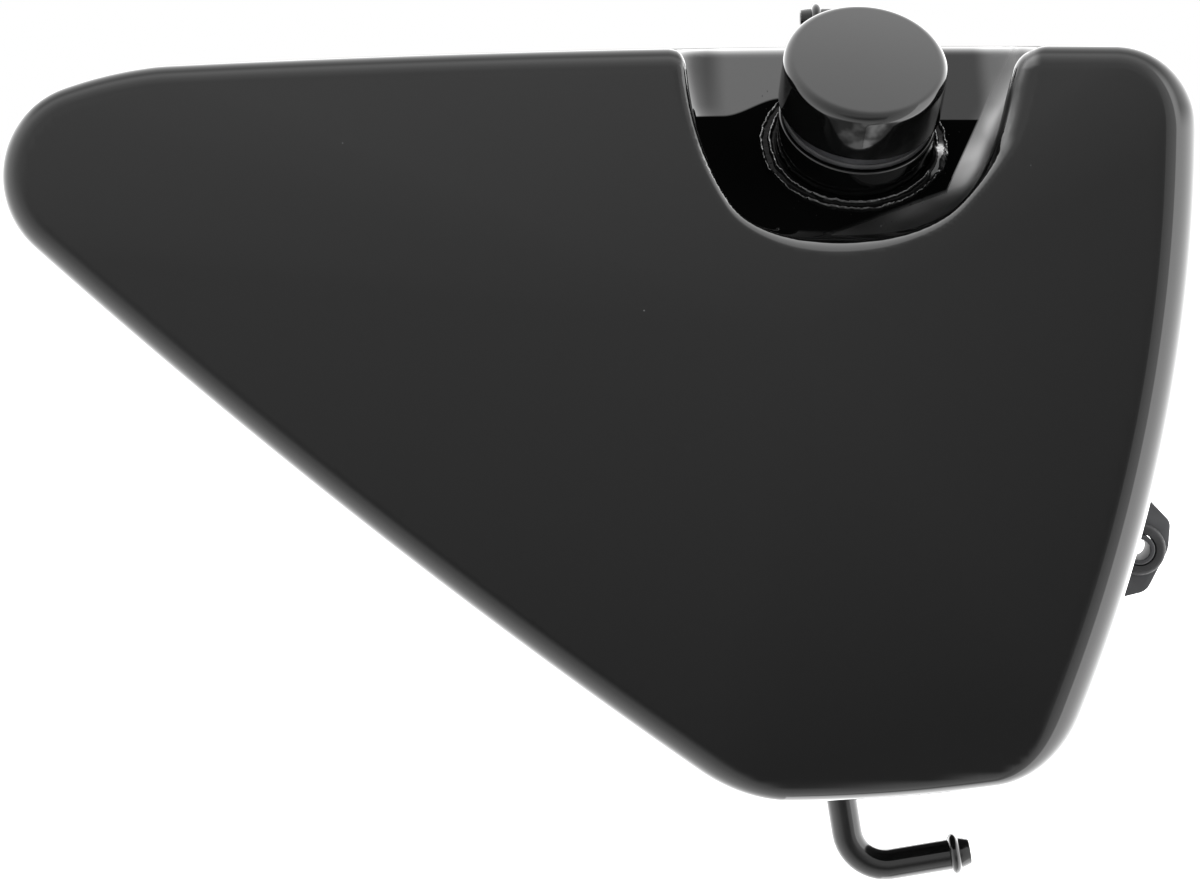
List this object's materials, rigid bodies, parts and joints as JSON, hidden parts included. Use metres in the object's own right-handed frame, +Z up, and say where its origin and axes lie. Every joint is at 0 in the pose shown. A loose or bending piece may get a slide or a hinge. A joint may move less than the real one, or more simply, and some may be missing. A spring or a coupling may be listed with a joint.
{
  "type": "motorcycle fuel tank",
  "caption": "Triangular side-mounted pressed-steel fuel tank with a tilted filler neck in a scalloped recess, vented screw cap, beaded hose pipes and rubber-cushioned mounts.",
  "frame": {"origin": "centre of the rear tab's bolt hole, on the plane where the mounts meet the machine's frame", "axes": "+X to the rear of the machine, +Y inboard towards its frame, +Z up"},
  "size_m": [0.3542, 0.131, 0.2661],
  "materials": {
    "gloss_enamel": "deep gloss black enamel",
    "cap_enamel": "gloss black enamel",
    "weld_enamel": "gloss black enamel over a weld bead",
    "pipe_enamel": "semi-gloss black enamel",
    "satin_enamel": "satin charcoal enamel",
    "bare_steel": "bare sheet steel",
    "zinc_plate": "bright zinc plate",
    "rubber": "matt black rubber",
    "moulding": "black moulding"
  },
  "bodies": {
    "tank": {"outer_shell": "gloss_enamel", "back_shell": "gloss_enamel", "seam_weld": "weld_enamel", "baffle_plate": "bare_steel", "filler_neck": "gloss_enamel", "neck_weld": "weld_enamel", "outlet_pipe": "pipe_enamel", "outlet_weld": "weld_enamel", "outlet_strainer": "bare_steel", "vent_pipe": "pipe_enamel", "vent_weld": "weld_enamel", "rear_tab": "satin_enamel", "rear_grommet": "rubber", "rear_sleeve": "satin_enamel", "front_bung": "satin_enamel", "front_bobbin": "rubber", "front_stud": "zinc_plate", "lower_bung": "satin_enamel", "lower_bobbin": "rubber", "lower_stud": "zinc_plate"},
    "cap_seal": {"cap_gasket": "rubber"},
    "cap": {"cap_body": "moulding", "cap_cover": "cap_enamel", "cap_vent_spring": "zinc_plate", "cap_vent_retainer": "zinc_plate"},
    "cap_vent": {"cap_vent_valve": "rubber"}
  },
  "joints": [
    {"name": "cap_lift", "type": "slide", "parent": "tank", "child": "cap_seal", "axis": [0.0628, -0.6958, 0.7155], "range_m": [0, 0.01]},
    {"name": "cap_turn", "type": "hinge", "parent": "cap_seal", "child": "cap", "pos_m": [-0.0953, -0.0756, 0.129], "axis": [0.0628, -0.6958, 0.7155], "range_deg": [0, 900]},
    {"name": "cap_vent_slide", "type": "slide", "parent": "cap", "child": "cap_vent", "axis": [-0.0628, 0.6958, -0.7155], "range_m": [0, 0.0012], "stiffness_N_per_m": 40, "springref_m": -0.002, "deforming": ["cap_vent_spring"]}
  ],
  "couplings": [
    {"joint": "cap_turn", "follows": "cap_lift", "rad_per_m": 1570.8}
  ]
}
